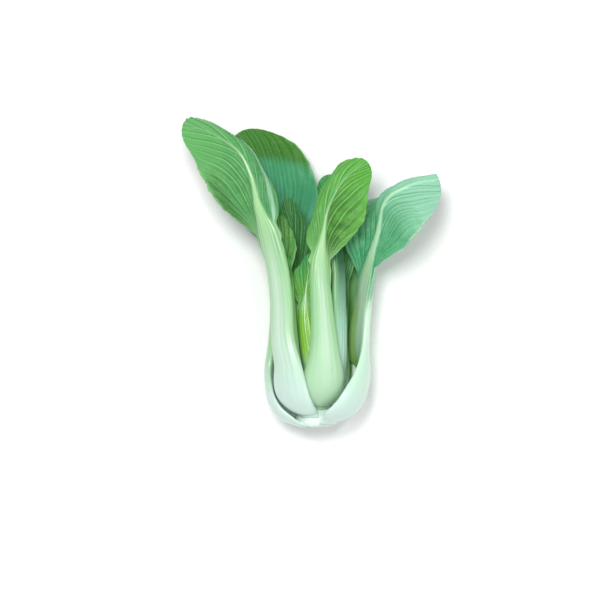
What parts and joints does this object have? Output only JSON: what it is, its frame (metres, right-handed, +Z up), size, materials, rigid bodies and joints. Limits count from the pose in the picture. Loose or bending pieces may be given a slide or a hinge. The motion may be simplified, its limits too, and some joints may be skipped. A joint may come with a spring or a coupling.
{
  "type": "bok choy",
  "caption": "Whole head of green-stemmed bok choy lying down, thick pale stalks nested round a short stem and dark green spoon-shaped leaves.",
  "frame": {"origin": "on the surface that the head lies on, under the middle of its length and width", "axes": "+Y from the cut end of the stem to the leaf tips, +Z up from the surface, +X to the right as seen from above with the stem nearest"},
  "size_m": [0.1553, 0.1855, 0.0582],
  "materials": {
    "stem": "satin",
    "stalk": "satin",
    "blade": "satin",
    "inner_stalk": "satin",
    "inner_blade": "satin"
  },
  "bodies": {
    "root": {"stem_base": "stem", "leaf_left_front_stalk": "stalk", "leaf_left_front_blade": "blade", "leaf_right_stalk": "stalk", "leaf_right_blade": "blade", "leaf_under_right_stalk": "stalk", "leaf_under_right_blade": "blade", "leaf_left_back_stalk": "stalk", "leaf_left_back_blade": "blade", "leaf_centre_front_stalk": "stalk", "leaf_centre_front_blade": "blade", "leaf_under_left_stalk": "stalk", "leaf_under_left_blade": "blade", "leaf_inner_right_stalk": "stalk", "leaf_inner_right_blade": "blade", "leaf_inner_front_stalk": "stalk", "leaf_inner_front_blade": "blade", "leaf_inner_left_stalk": "inner_stalk", "leaf_inner_left_blade": "inner_blade", "leaf_heart_back_stalk": "inner_stalk", "leaf_heart_back_blade": "inner_blade", "leaf_heart_front_stalk": "inner_stalk", "leaf_heart_front_blade": "inner_blade", "leaf_heart_bud_stalk": "inner_stalk", "leaf_heart_bud_blade": "inner_blade"}
  },
  "joints": []
}
